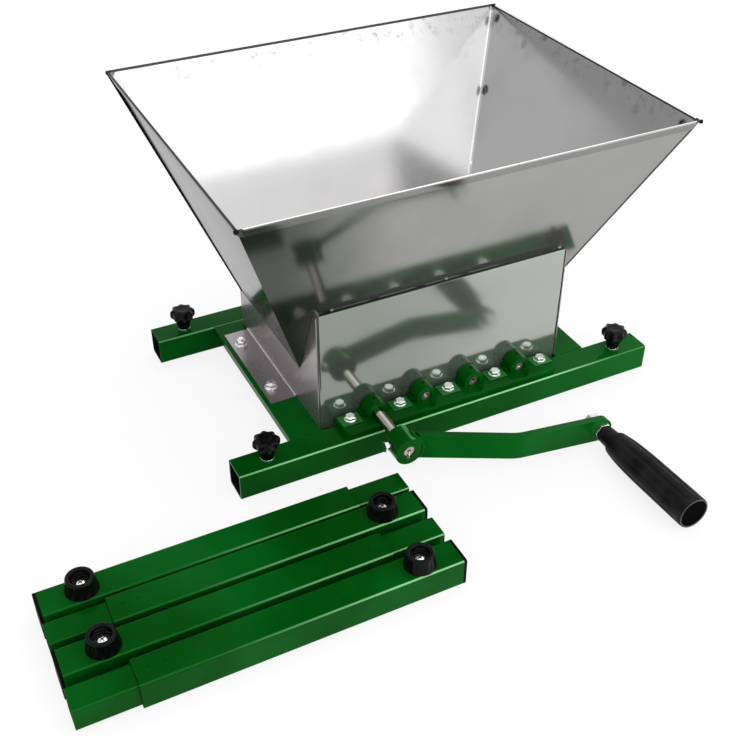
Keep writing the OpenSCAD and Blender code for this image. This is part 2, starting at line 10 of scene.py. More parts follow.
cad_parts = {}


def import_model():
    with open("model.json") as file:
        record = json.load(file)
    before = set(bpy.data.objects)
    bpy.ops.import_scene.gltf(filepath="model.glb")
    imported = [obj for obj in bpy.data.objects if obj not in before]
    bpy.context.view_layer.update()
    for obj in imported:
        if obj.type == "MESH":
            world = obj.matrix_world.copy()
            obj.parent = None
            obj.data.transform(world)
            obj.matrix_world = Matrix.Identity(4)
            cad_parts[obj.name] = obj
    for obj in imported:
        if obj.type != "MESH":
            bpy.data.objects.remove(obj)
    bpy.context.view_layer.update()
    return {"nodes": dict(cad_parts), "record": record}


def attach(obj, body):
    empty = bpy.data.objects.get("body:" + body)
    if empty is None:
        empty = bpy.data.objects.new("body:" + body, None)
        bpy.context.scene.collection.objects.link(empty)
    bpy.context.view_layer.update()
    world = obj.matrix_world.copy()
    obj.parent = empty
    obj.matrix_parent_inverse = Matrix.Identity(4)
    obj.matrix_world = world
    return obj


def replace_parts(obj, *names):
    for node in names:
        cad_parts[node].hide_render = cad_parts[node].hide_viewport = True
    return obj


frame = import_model()

MM = 0.001
RECORD = frame["record"]
BODY_OF_NODE = {
    node: body
    for body, members in RECORD["behaviour"]["bodies"].items()
    for node in members
}
SLOT_OF_NODE = {part["node"]: part["material_slot"] for part in RECORD["subparts"]}

# Sizes that repeat the construction, in millimetres

# Rails, cross bars and bearings
RAIL_TOP = 30.0
RAIL_HALF = RAIL_TOP / 2
RAIL_SPACING = 250.0
BAR_X = 159.5
BAR_WIDTH = 35.0
SHAFT_PITCH = 57.0
DRIVE_X = -1.5 * SHAFT_PITCH
SHAFT_Z = 42.0
PAD_TOP = 39.0
STRIP_BOLT_Y = 6.5

# Hopper, with its width and depth inside, and the sheets under it
HOPPER_Y = 144.5
THROAT = (284.0, 160.0)
RIM = (466.0, 369.0)
THROAT_Z = 76.0
RIM_Z = 312.0
SHEET = 1.2
HEM_DEPTH = 10.0
SEAM_GAP = 0.3
APRON_TOP = 164.0
PLATE_BEND_X = 144.0
PLATE_FLANGE_Z = RAIL_TOP + SHEET
PLATE_BOLT_X = 161.5
PLATE_BOLT_REACH = 43.5

# Crank and grip, with their two angles in radians
CRANK_RADIUS = 210.0
CRANK_DROP = math.radians(8.3)
HUB_RADIUS = 15.0
ARM_HALF_THICK = 4.0
ARM_ROOT_Y = -56.5
ARM_OUTER_Y = -94.5
ARM_BEND = 108.0
ARM_RISE = 3.0
GRIP_LEAN = math.radians(2)
GRIP_START = -103.5
GRIP_LENGTH = 138.0

# Knobs and support arms
KNOB_X = 207.5
KNOB_BASE = 31.8
INSERT_HALF = 12.5
ARM_Y = (-85.5, -118.0, -153.5, -190.0)
FOOT_X = (-414.0, -141.5, -414.0, -141.5)

# Hopper sizes that follow
RISE = RIM_Z - THROAT_Z
FRONT_LEAN = math.atan((RIM[1] - THROAT[1]) / 2 / RISE)
SIDE_LEAN = math.atan((RIM[0] - THROAT[0]) / 2 / RISE)
LAP = SHEET / math.cos(SIDE_LEAN)


# Node trees


def wired(tree, kind, settings=None, **inputs):
    """Adds a node and links or sets its inputs; i3 means the fourth input."""
    made = tree.nodes.new(kind)
    for key, value in (settings or {}).items():
        setattr(made, key, value)
    for key, value in inputs.items():
        socket = made.inputs[int(key[1:]) if key[1:].isdigit() else key.replace("_", " ")]
        if isinstance(value, bpy.types.NodeSocket):
            tree.links.new(value, socket)
        else:
            socket.default_value = value
    return made


def empty_shader_tree(owner):
    owner.use_nodes = True
    owner.node_tree.nodes.clear()
    return owner.node_tree


def opaque(tone, share=1.0):
    """A tone of three values, scaled, as a colour without transparency."""
    return tuple(value * share for value in tone) + (1,)


# Materials


class Finish:
    """A material under construction: its shader and short calls for the nodes that feed it."""

    def __init__(self, name, **even_values):
        self.material = bpy.data.materials.new(name)
        self.material.use_nodes = True
        self.tree = self.material.node_tree
        self.shader = self.tree.nodes["Principled BSDF"]
        for socket, value in even_values.items():
            self.shader.inputs[socket.replace("_", " ")].default_value = value

    def node(self, kind, settings=None, **inputs):
        return wired(self.tree, "ShaderNode" + kind, settings, **inputs)

    def place(self):
        return self.node("TexCoord").outputs["Object"]

    def axes(self):
        """The place in metres, along X, Y and Z."""
        return self.node("SeparateXYZ", Vector=self.place()).outputs

    def stretched(self, scale):
        return self.node("Mapping", Vector=self.place(), Scale=scale).outputs[0]

    def noise(self, scale, detail=3.0, roughness=0.5, where=None):
        vector = where if where is not None else self.place()
        made = self.node("TexNoise", Vector=vector, Scale=scale, Detail=detail, Roughness=roughness)
        return made.outputs[0]

    def between(self, value, low, high, out_low=0.0, out_high=1.0):
        settings = {"interpolation_type": "SMOOTHSTEP"}
        made = self.node("MapRange", settings, i0=value, i1=low, i2=high, i3=out_low, i4=out_high)
        return made.outputs[0]

    def calc(self, operation, a, b=0.0):
        return self.node("Math", {"operation": operation}, i0=a, i1=b).outputs[0]

    def blend(self, share, a, b):
        return self.node("Mix", {"data_type": "RGBA"}, i0=share, i6=a, i7=b).outputs[2]

    def feed(self, socket, value):
        self.tree.links.new(value, self.shader.inputs[socket])

    def relief(self, *layers):
        """Bump layers, each (height, depth in metres)."""
        normal = None
        for height, depth in layers:
            bump = self.node("Bump", Height=height, Distance=depth, Strength=1.0)
            if normal is not None:
                self.tree.links.new(normal, bump.inputs["Normal"])
            normal = bump.outputs[0]
        self.feed("Normal", normal)


# Where the painted edge highlights give up their dull tone on the left and take it again on the right, in
# metres
DULL_LEFT = (-0.35, -0.12)
DULL_RIGHT = (0.1, 0.21)
PAINT_DUST = (0.004, 0.13, 0.014)


def green_paint(name, low, high, dull=None):
    """Deep gloss over steel: a faint cloudiness, specks of dust, orange peel, a green sheen.

    A dull tone, where given, holds at both sides of the machine and gives way to the bright one; the edge
    materials use it to fade their painted highlight out towards the sides."""
    paint = Finish(name, Specular_IOR_Level=0.09, Specular_Tint=(0.05, 1.0, 0.12, 1))
    clouds = paint.between(paint.noise(7.0, 4.0), 0.35, 0.65)
    colour = paint.blend(clouds, opaque(low), opaque(high))
    if dull is not None:
        across = paint.axes()[0]
        left = paint.between(across, *DULL_LEFT)
        right = paint.between(across, *DULL_RIGHT, 1.0, 0.0)
        colour = paint.blend(paint.calc("MULTIPLY", left, right), opaque(dull), colour)
    dust = paint.between(paint.noise(240.0, 6.0, 0.7), 0.62, 0.8, 0.0, 0.25)
    paint.feed("Base Color", paint.blend(dust, colour, opaque(PAINT_DUST)))
    paint.feed("Roughness", paint.between(paint.noise(26.0, 5.0), 0.3, 0.7, 0.13, 0.22))
    paint.relief((paint.noise(420.0, 2.0), 0.00002))
    return paint.material


def tube_bore_shade():
    """Inside of a tube: bare steel with a little overspray, painted near black as the shade deep in its
    bore.
    """
    bare = Finish("tube_bore_painted_shade", Specular_IOR_Level=0.1)
    spray = bare.between(bare.noise(90.0, 5.0), 0.4, 0.75, 0.0, 0.5)
    bare.feed("Base Color", bare.blend(spray, (0.003, 0.004, 0.003, 1), (0.001, 0.012, 0.003, 1)))
    bare.feed("Roughness", bare.between(bare.noise(60.0, 3.0), 0.3, 0.7, 0.5, 0.7))
    return bare.material


# Heat marks and grease inside the hopper, each with its centre and size in millimetres and its strength
HOPPER_MARKS = (
    ((232.4, 328.0, 310.5), 8.0, 1.0),
    ((228.7, 311.4, 300.9), 7.0, 1.0),
    ((200.4, 283.2, 227.5), 8.0, 1.0),
    ((225.1, 246.5, 291.5), 7.0, 0.3),
    ((231.6, 216.5, 308.3), 6.0, 0.6),
    ((226.0, 322.0, 296.0), 13.0, 0.25),
)
MARK_TONE = (0.022, 0.02, 0.018)
# Heights in metres between which the finger smears under the rim set in
SMEAR_BAND = (0.283, 0.3)


def soft_mark(steel, centre, size):
    """A round mark with a soft edge about a place, the same at all four corners of the hopper."""
    parts = steel.axes()
    across = steel.calc("ABSOLUTE", parts[0])
    along = steel.calc("ABSOLUTE", steel.calc("SUBTRACT", parts[1], HOPPER_Y * MM))
    folded = steel.node("CombineXYZ", X=across, Y=along, Z=parts[2]).outputs[0]
    x, y, z = centre
    place = (x * MM, (y - HOPPER_Y) * MM, z * MM)
    reach = steel.node("VectorMath", {"operation": "DISTANCE"}, i0=folded, i1=place).outputs["Value"]
    return steel.between(reach, size * 0.45 * MM, size * MM, 1.0, 0.0)


def heat_and_grease(steel):
    """Tints of the spot welds in the corners and seams, and finger smears under the rim."""
    marks = None
    for centre, size, strength in HOPPER_MARKS:
        mark = steel.calc("MULTIPLY", soft_mark(steel, centre, size), strength)
        marks = mark if marks is None else steel.calc("MAXIMUM", marks, mark)
    broken = steel.between(steel.noise(260.0, 5.0, 0.7), 0.36, 0.56, 0.5, 0.98)
    marks = steel.calc("MULTIPLY", marks, broken)
    under_rim = steel.between(steel.axes()[2], *SMEAR_BAND)
    smears = steel.between(steel.noise(95.0, 6.0, 0.7), 0.5, 0.7, 0.0, 0.4)
    return steel.calc("MAXIMUM", marks, steel.calc("MULTIPLY", under_rim, smears))


def stainless(name, tone, roughness, waviness, marked=False, fade=None, metal=1.0, edge=1.0):
    """Cold-rolled sheet: near mirror, faintly wavy, with fine rolling lines and wiped smears.

    A marked sheet also has heat marks and grease. A fade, (x from, x to, tone at the start), darkens the
    sheet towards one side of the machine as a painted dark reflection. Metal is its share of bare metal
    under a dull film, edge its shine seen along the surface."""
    steel = Finish(name, Metallic=metal, Specular_Tint=(edge, edge, edge, 1), Specular_IOR_Level=0.2)
    smear = steel.between(steel.noise(9.0, 5.0, 0.6), 0.38, 0.68)
    wiped = steel.between(steel.noise(60.0, 4.0, 0.65), 0.45, 0.75)
    colour = steel.blend(smear, opaque(tone), opaque(tone, 0.94))
    grain = steel.between(smear, 0.0, 1.0, roughness, roughness + 0.03)
    grain = steel.calc("ADD", grain, steel.calc("MULTIPLY", wiped, 0.02))
    if fade is not None:
        start, end, dull = fade
        drift = steel.calc("MULTIPLY", steel.calc("SUBTRACT", steel.noise(11.0, 3.0), 0.5), 0.06)
        share = steel.between(steel.calc("ADD", steel.axes()[0], drift), start * MM, end * MM)
        colour = steel.blend(share, opaque(dull), colour)
    if marked:
        marks = heat_and_grease(steel)
        colour = steel.blend(marks, colour, opaque(MARK_TONE))
        grain = steel.calc("ADD", grain, steel.calc("MULTIPLY", marks, 0.3))
    steel.feed("Base Color", colour)
    steel.feed("Roughness", grain)
    lines = steel.noise(1.0, 3.0, 0.6, steel.stretched((60.0, 60.0, 2600.0)))
    steel.relief((steel.noise(4.0, 1.0), waviness), (lines, 0.000002))
    return steel.material


def bright_zinc():
    zinc = Finish("bright_zinc", Metallic=1.0)
    spots = zinc.between(zinc.noise(420.0, 4.0), 0.4, 0.7)
    zinc.feed("Base Color", zinc.blend(spots, (0.95, 0.96, 0.96, 1), (0.78, 0.79, 0.78, 1)))
    zinc.feed("Roughness", zinc.between(zinc.noise(260.0, 3.0), 0.3, 0.7, 0.14, 0.26))
    zinc.relief((zinc.noise(900.0, 2.0), 0.00002))
    return zinc.material


def ground_bar():
    """Bright turned bar with brown streaks along it that are painted dark reflections."""
    bar = Finish("ground_bar", Metallic=1.0)
    bands = bar.noise(1.0, 4.0, 0.6, bar.stretched((20.0, 1800.0, 20.0)))
    turned = bar.blend(bands, (0.98, 0.92, 0.90, 1), (0.86, 0.79, 0.76, 1))
    # Painted dark reflections: brown streaks along the bar
    streaks = bar.between(bar.noise(1.0, 2.0, 0.5, bar.stretched((330.0, 5.0, 330.0))), 0.47, 0.56)
    bar.feed("Base Color", bar.blend(streaks, turned, (0.13, 0.07, 0.055, 1)))
    bar.feed("Roughness", bar.between(bands, 0.3, 0.7, 0.03, 0.07))
    bar.relief((bands, 0.000002))
    return bar.material


def cut_steel(name, tone, roughness):
    """Dull steel with a mottled surface, sawn, cast or burnt."""
    steel = Finish(name, Metallic=1.0)
    mottle = steel.between(steel.noise(130.0, 6.0, 0.65), 0.35, 0.7)
    steel.feed("Base Color", steel.blend(mottle, opaque(tone), opaque(tone, 0.72)))
    steel.feed("Roughness", steel.between(mottle, 0.0, 1.0, roughness, roughness + 0.15))
    steel.relief((steel.noise(700.0, 3.0), 0.00003))
    return steel.material


def black_plastic(name, roughness, grain, gloss=0.12, bloom=1.0):
    """Moulded black plastic or rubber; bloom makes its greyish cast stronger."""
    plastic = Finish(name, Specular_IOR_Level=gloss)
    cloud = plastic.between(plastic.noise(45.0, 4.0), 0.35, 0.65)
    dark, pale = opaque((0.0015, 0.0015, 0.0017), bloom), opaque((0.0032, 0.0032, 0.0031), bloom)
    plastic.feed("Base Color", plastic.blend(cloud, dark, pale))
    mottle = plastic.between(plastic.noise(150.0, 5.0), 0.3, 0.7, roughness, roughness + 0.12)
    plastic.feed("Roughness", mottle)
    plastic.relief((plastic.noise(1400.0, 3.0), grain))
    return plastic.material


# The stretch, in millimetres, over which the painted dark reflection on the left of the sheets facing front
# fades out
FRONT_FADE = (-190, -60)
APRON_FADE = (-95, 75)

HOPPER_INSIDE = stainless("hopper_inside", (0.62, 0.615, 0.615), 0.14, 0.00012, marked=True)
# The hopper's outside, with a painted dark reflection on its left
HOPPER_OUTSIDE = stainless(
    "hopper_outside", (0.42, 0.42, 0.405), 0.09, 0.0002,
    fade=(*FRONT_FADE, (0.11, 0.12, 0.108)), metal=0.86, edge=0.38,
)
SIDE_OUTSIDE = stainless("hopper_side_outside", (0.36, 0.36, 0.35), 0.1, 0.0002, metal=0.86, edge=0.3)
# The hem band: a darker copy of the outside sheet as painted shade, with the same painted dark reflection on
# its left
HEM_FACE = stainless(
    "hem_face", (0.31, 0.31, 0.30), 0.12, 0.0001,
    fade=(*FRONT_FADE, (0.2, 0.205, 0.195)), metal=0.88, edge=0.38,
)
RIM_DARK = stainless("rim_shaded", (0.055, 0.055, 0.055), 0.35, 0.0)
# Painted highlight on the rims' folds and on a bent corner strip
RIM_HIGHLIGHT_PAINT = stainless("rim_painted_highlight", (0.9, 0.9, 0.9), 0.25, 0.0)
PLATE_SHEET = stainless("side_plate_stainless", (0.38, 0.35, 0.36), 0.26, 0.00005, metal=0.8)
# Painted highlight along the side plates' bends
BEND_HIGHLIGHT_PAINT = stainless("side_plate_bend_painted_highlight", (0.95, 0.86, 0.86), 0.3, 0.0)
# Painted dark reflection on the apron's top flange, under the hopper's front wall
APRON_FLANGE_REFLECTION_PAINT = stainless("apron_flange_painted_reflection", (0.05, 0.065, 0.05), 0.2, 0.0)
CUT_END = cut_steel("sawn_bar_end", (0.62, 0.52, 0.46), 0.4)
SEAM_SOOT = cut_steel("seam_soot", (0.012, 0.012, 0.012), 0.5)
# Painted shade inside the tubes' bores
TUBE_BORE_SHADE = tube_bore_shade()
# Painted highlight along the front rail's upper front edge
EDGE_HIGHLIGHT_PAINT = green_paint("green_edge_painted_highlight", (0.32, 0.70, 0.34), (0.44, 0.86, 0.45), (0.06, 0.26, 0.07))
# Softer painted highlight along the upper front edges of the rear rail and the support arms
SOFT_EDGE_HIGHLIGHT_PAINT = green_paint("green_edge_soft_painted_highlight", (0.26, 0.58, 0.28), (0.36, 0.72, 0.38), (0.012, 0.12, 0.02))
# Painted highlight on the tops of the bolt pads
PAD_HIGHLIGHT_PAINT = green_paint("bolt_pad_painted_highlight", (0.015, 0.16, 0.03), (0.07, 0.27, 0.09))
# Painted highlight along the crank arm's upper front edge
ARM_EDGE_HIGHLIGHT_PAINT = green_paint("arm_edge_painted_highlight", (0.07, 0.34, 0.10), (0.13, 0.44, 0.16))
# Painted highlight band along the top of the crank's hub
HUB_HIGHLIGHT_PAINT = green_paint("hub_painted_highlight", (0.05, 0.27, 0.07), (0.10, 0.36, 0.13))
GRIP_RIM = black_plastic("grip_end_rim", 0.3, 0.00002, gloss=0.9)
GRIP_END = black_plastic("grip_end_plug", 0.5, 0.00003, gloss=0.01, bloom=0.5)
MATERIALS = {
    "green_paint": green_paint("green_gloss_paint", (0.0003, 0.068, 0.003), (0.0018, 0.118, 0.011)),
    # The apron, with a painted dark reflection on its left
    "stainless_sheet": stainless(
        "apron_stainless", (0.43, 0.455, 0.42), 0.095, 0.00012,
        fade=(*APRON_FADE, (0.29, 0.32, 0.28)), metal=0.8,
    ),
    "zinc_plate": bright_zinc(),
    "ground_steel": ground_bar(),
    "knife_steel": cut_steel("knife_steel", (0.55, 0.55, 0.55), 0.28),
    "gear_steel": cut_steel("oiled_gear_steel", (0.36, 0.35, 0.34), 0.3),
    "grip_plastic": black_plastic("grip_plastic", 0.34, 0.00002, gloss=0.05, bloom=6.0),
    "knob_plastic": black_plastic("knob_plastic", 0.2, 0.00002),
    "cap_plastic": black_plastic("cap_plastic", 0.42, 0.00004, gloss=0.04),
    "foot_rubber": black_plastic("foot_rubber", 0.2, 0.00003),
}


# Piece making


def set_out(name, data):
    """A new object in the scene."""
    made = bpy.data.objects.new(name, data)
    bpy.context.scene.collection.objects.link(made)
    return made


def piece(name, mesh, slot, body):
    """Puts a finished mesh into the scene as a piece that rides on a body."""
    made = set_out(name, mesh)
    if not mesh.materials:
        mesh.materials.append(MATERIALS[slot])
    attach(made, body)
    return made


def settled_mesh(worked):
    """The plain mesh that a worked object's modifiers give; the object goes."""
    graph = bpy.context.evaluated_depsgraph_get()
    mesh = bpy.data.meshes.new_from_object(
        worked.evaluated_get(graph), preserve_all_data_layers=True, depsgraph=graph
    )
    bpy.data.objects.remove(worked)
    return mesh


def whole_faces(mesh):
    """Joins loose triangles into one skin whose flat faces are whole."""
    skin = bmesh.new()
    skin.from_mesh(mesh)
    bmesh.ops.remove_doubles(skin, verts=skin.verts, dist=0.000002)
    bmesh.ops.dissolve_limit(skin, angle_limit=math.radians(0.5), verts=skin.verts, edges=skin.edges)
    skin.to_mesh(mesh)
    skin.free()


def eased(node, width, steps=2, finish=None):
    """A copy of a CAD node with its sharp edges rounded, in the node's place."""
    mesh = frame["nodes"][node].data.copy()
    mesh.materials.clear()
    whole_faces(mesh)
    for face in mesh.polygons:
        face.use_smooth = True
    worked = set_out(node + "_work", mesh)
    edge = worked.modifiers.new("eased_edges", "BEVEL")
    edge.width = width * MM
    edge.segments = steps
    edge.limit_method = "ANGLE"
    edge.angle_limit = math.radians(34)
    edge.miter_outer = "MITER_ARC"
    level = worked.modifiers.new("level_faces", "WEIGHTED_NORMAL")
    level.mode = "FACE_AREA"
    level.weight = 60
    finished = settled_mesh(worked)
    finished.name = node + "_eased"
    if finish is not None:
        finished.materials.append(finish)
    made = piece(node + "_shown", finished, SLOT_OF_NODE[node], BODY_OF_NODE[node])
    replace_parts(made, node)
    return made


def faces_in(shown, material, chosen):
    """Gives the faces that a test picks their own finish."""
    mesh = shown.data
    mesh.materials.append(material)
    index = len(mesh.materials) - 1
    for face in mesh.polygons:
        if chosen(face.center, face.normal):
            face.material_index = index


def tube_finish(shown, y, half, edge):
    """Painted shade inside, and a painted highlight along the upper front edge, for a square tube that lies
    along X.
    """
    # An inner face lies deeper than the skin, and the edge with the painted highlight no further back than
    # its reach
    skin, reach = 1.4, 3.0

    def inner(centre, normal):
        out = Vector((0, centre.y - y * MM, centre.z - RAIL_HALF * MM))
        return max(abs(out.y), abs(out.z)) < (half - skin) * MM and normal.dot(out) < 0

    def highlight_edge(centre, normal):
        slanting = normal.y < -0.42 and 0.42 < normal.z < 0.91
        return slanting and centre.y < (y - half + reach) * MM

    # Inner faces get the painted shade of the bore
    faces_in(shown, TUBE_BORE_SHADE, inner)
    faces_in(shown, edge, highlight_edge)


def ring_mesh(name, rings):
    """A closed skin over rings of points in millimetres, each ring with as many points as the next."""
    skin = bmesh.new()
    rows = [[skin.verts.new(Vector(point) * MM) for point in ring] for ring in rings]
    count = len(rows[0])
    for low, high in zip(rows, rows[1:]):
        for i in range(count):
            j = (i + 1) % count
            skin.faces.new((low[i], low[j], high[j], high[i]))
    for row in (rows[0], rows[-1]):
        skin.faces.new(row)
    bmesh.ops.recalc_face_normals(skin, faces=skin.faces)
    mesh = bpy.data.meshes.new(name)
    skin.to_mesh(mesh)
    skin.free()
    return mesh


def smooth_by_angle(mesh, degrees):
    """Smooth shading that stays crisp at edges sharper than this."""
    mesh.shade_smooth()
    mesh.set_sharp_from_angle(angle=math.radians(degrees))


def joined_mesh(name, meshes):
    """One mesh of several, whose materials go along."""
    skin = bmesh.new()
    whole = bpy.data.meshes.new(name)
    for mesh in meshes:
        first = len(whole.materials)
        for material in mesh.materials:
            whole.materials.append(material)
        start = len(skin.faces)
        skin.from_mesh(mesh)
        skin.faces.ensure_lookup_table()
        for face in skin.faces[start:]:
            face.material_index += first
    skin.to_mesh(whole)
    skin.free()
    return whole


def circle(radius, height, count, wave=None):
    """A ring of points about Z; wave turns an angle into a share of the radius."""
    points = []
    for i in range(count):
        angle = math.tau * i / count
        r = radius if wave is None else radius * wave(angle)
        points.append((r * math.cos(angle), r * math.sin(angle), height))
    return points


def millimetre_points(name, points, edges=()):
    """A mesh of bare points and edges, in millimetres."""
    mesh = bpy.data.meshes.new(name)
    mesh.from_pydata([tuple(value * MM for value in point) for point in points], edges, [])
    return mesh


def millimetre_move(x, y, z):
    return Matrix.Translation(Vector((x, y, z)) * MM)


# Beads and bolts, grown by Geometry Nodes


def empty_tree(name, inputs):
    tree = bpy.data.node_groups.new(name, "GeometryNodeTree")
    tree.interface.new_socket("Geometry", in_out="INPUT", socket_type="NodeSocketGeometry")
    for label, kind, value in inputs:
        socket = tree.interface.new_socket(label, in_out="INPUT", socket_type="NodeSocket" + kind)
        if value is not None:
            socket.default_value = value
    tree.interface.new_socket("Geometry", in_out="OUTPUT", socket_type="NodeSocketGeometry")
    return tree


def set_inputs(modifier, tree, values):
    """Sets a modifier's named inputs by the sockets' identifiers."""
    for socket in tree.interface.items_tree:
        if socket.item_type == "SOCKET" and socket.in_out == "INPUT" and socket.name in values:
            modifier[socket.identifier] = values[socket.name]


def grown(name, base_mesh, tree, values, finish):
    """The plain mesh that a node tree makes of a base mesh."""
    worked = set_out(name + "_work", base_mesh)
    modifier = worked.modifiers.new("grown", "NODES")
    modifier.node_group = tree
    set_inputs(modifier, tree, dict(values, Finish=finish))
    mesh = settled_mesh(worked)
    mesh.name = name
    return mesh


def bead_tree():
    """A round weld bead along the edges of a path."""
    tree = empty_tree("bead_on_path", (("Bead Radius", "Float", 0.002), ("Finish", "Material", None)))
    given = wired(tree, "NodeGroupInput").outputs
    path = wired(tree, "GeometryNodeMeshToCurve", Mesh=given["Geometry"]).outputs[0]
    size = {"Resolution": 12, "Radius": given["Bead Radius"]}
    section = wired(tree, "GeometryNodeCurvePrimitiveCircle", **size).outputs[0]
    sweep = {"Curve": path, "Profile_Curve": section, "Fill_Caps": True}
    tube = wired(tree, "GeometryNodeCurveToMesh", **sweep).outputs[0]
    real = wired(tree, "GeometryNodeRealizeInstances", Geometry=tube).outputs[0]
    smooth = wired(tree, "GeometryNodeSetShadeSmooth", Geometry=real, Shade_Smooth=True).outputs[0]
    coated = wired(tree, "GeometryNodeSetMaterial", Geometry=smooth, Material=given["Finish"]).outputs[0]
    wired(tree, "NodeGroupOutput", i0=coated)
    return tree


BEAD_TREE = bead_tree()


def bead(name, points, radius, finish, closed=False):
    """A bead along a path of points, in millimetres."""
    count = len(points)
    edges = [(i, (i + 1) % count) for i in range(count if closed else count - 1)]
    path = millimetre_points(name + "_path", points, edges)
    return grown(name, path, BEAD_TREE, {"Bead Radius": radius * MM}, finish)


def fastener_tree():
    """Whole bolts on the points of a mesh, each turned by the point's own angle and seated at its height."""
    tree = empty_tree(
        "hexagon_fasteners",
        (
            ("Head Radius", "Float", 0.0057),
            ("Head Height", "Float", 0.004),
            ("Washer Radius", "Float", 0.0065),
            ("Washer Thickness", "Float", 0.0012),
            ("Thread Radius", "Float", 0.003),
            ("Thread Reach", "Float", 0.0),
            ("Shank Length", "Float", 0.018),
            ("Lower Depth", "Float", 0.016),
            ("Lower Height", "Float", 0.005),
            ("Finish", "Material", None),
        ),
    )
    given = wired(tree, "NodeGroupInput").outputs

    def calc(operation, a, b):
        return wired(tree, "ShaderNodeMath", {"operation": operation}, i0=a, i1=b).outputs[0]

    def cone(sides, top, bottom, height, lift):
        sizes = {"Vertices": sides, "Radius_Top": top, "Radius_Bottom": bottom, "Depth": height}
        shape = wired(tree, "GeometryNodeMeshCone", **sizes).outputs[0]
        offset = wired(tree, "ShaderNodeCombineXYZ", Z=lift).outputs[0]
        return wired(tree, "GeometryNodeTransform", Geometry=shape, Translation=offset).outputs[0]

    washer, head, thread = given["Washer Radius"], given["Head Radius"], given["Thread Radius"]
    disc, hexagon, rod = 40, 6, 24
    bevel = 0.0005
    overlap = 0.0002
    face_share = 0.84
    washer_body = calc("SUBTRACT", given["Washer Thickness"], bevel / 2)
    washer_edge = calc("SUBTRACT", washer, bevel)
    head_low = given["Washer Thickness"]
    head_body = calc("SUBTRACT", given["Head Height"], 2 * bevel)
    head_top = calc("ADD", head_low, head_body)
    head_face = calc("MULTIPLY", head, face_share)
    cap_top = calc("ADD", head_top, 2 * bevel)
    thread_end = calc("ADD", given["Thread Reach"], overlap)
    shank_low = calc("SUBTRACT", 0.0, given["Shank Length"])
    nut_low = calc("SUBTRACT", 0.0, given["Lower Depth"])
    parts = [
        cone(disc, washer, washer, washer_body, 0.0),
        cone(disc, washer_edge, washer, bevel / 2, washer_body),
        cone(hexagon, head, head, head_body, head_low),
        cone(hexagon, head_face, head, 2 * bevel, head_top),
        cone(rod, thread, thread, thread_end, cap_top),
        cone(rod, thread, thread, given["Shank Length"], shank_low),
        cone(hexagon, head, head, given["Lower Height"], nut_low),
    ]
    bolt = wired(tree, "GeometryNodeJoinGeometry")
    for part in reversed(parts):
        tree.links.new(part, bolt.inputs[0])
    points = wired(tree, "GeometryNodeMeshToPoints", Mesh=given["Geometry"]).outputs[0]
    turn = wired(tree, "GeometryNodeInputNamedAttribute", {"data_type": "FLOAT"}, Name="turn").outputs[0]
    spin = wired(tree, "ShaderNodeCombineXYZ", Z=turn).outputs[0]
    copies = {"Points": points, "Instance": bolt.outputs[0], "Rotation": spin}
    placed = wired(tree, "GeometryNodeInstanceOnPoints", **copies).outputs[0]
    real = wired(tree, "GeometryNodeRealizeInstances", Geometry=placed).outputs[0]
    flat = wired(tree, "GeometryNodeSetShadeSmooth", Geometry=real, Shade_Smooth=False).outputs[0]
    coated = wired(tree, "GeometryNodeSetMaterial", Geometry=flat, Material=given["Finish"]).outputs[0]
    wired(tree, "NodeGroupOutput", i0=coated)
    return tree


def bolt_seats(name, places):
    """Loose points in millimetres, each with the angle its bolt happens to be turned by."""
    step, sixth = 0.61, 1.047
    mesh = millimetre_points(name, places)
    turn = mesh.attributes.new("turn", "FLOAT", "POINT")
    for i in range(len(places)):
        turn.data[i].value = (i * step) % sixth
    return mesh


# Frame, box and bearings


def frame_pieces():
    # Each rail gets painted shade in its bore and a painted highlight on its upper front edge
    for node, y, edge in (("front_rail", 0.0, EDGE_HIGHLIGHT_PAINT), ("rear_rail", RAIL_SPACING, SOFT_EDGE_HIGHLIGHT_PAINT)):
        tube_finish(eased(node, 0.5), y, RAIL_HALF, edge)
    for node in ("left_cross_bar", "right_cross_bar"):
        eased(node, 0.9)

    def pad_top(centre, normal):
        return normal.z > 0.95 and abs(centre.z - PAD_TOP * MM) < 0.3 * MM

    # The pad tops get a painted highlight
    for node in ("front_bearing_strip", "rear_bearing_strip"):
        faces_in(eased(node, 1.0, 3), PAD_HIGHLIGHT_PAINT, pad_top)

    # Faces of the apron's top flange that get the painted dark reflection
    def apron_flange_painted_reflection(centre, normal):
        return normal.z > 0.8 and centre.z > (APRON_TOP - SHEET / 2) * MM

    faces_in(eased("front_apron", 0.25), APRON_FLANGE_REFLECTION_PAINT, apron_flange_painted_reflection)
    for node in ("rear_plate", "inner_throat_plate"):
        eased(node, 0.25)
    for node in ("left_side_plate", "right_side_plate"):
        eased(node, 0.25, finish=PLATE_SHEET)
    eased("clamp_bushes", 0.3)
    for node in ("drive_shaft", "second_shaft", "third_shaft", "fourth_shaft"):
        faces_in(eased(node, 0.4), CUT_END, lambda centre, normal: abs(normal.y) > 0.85)


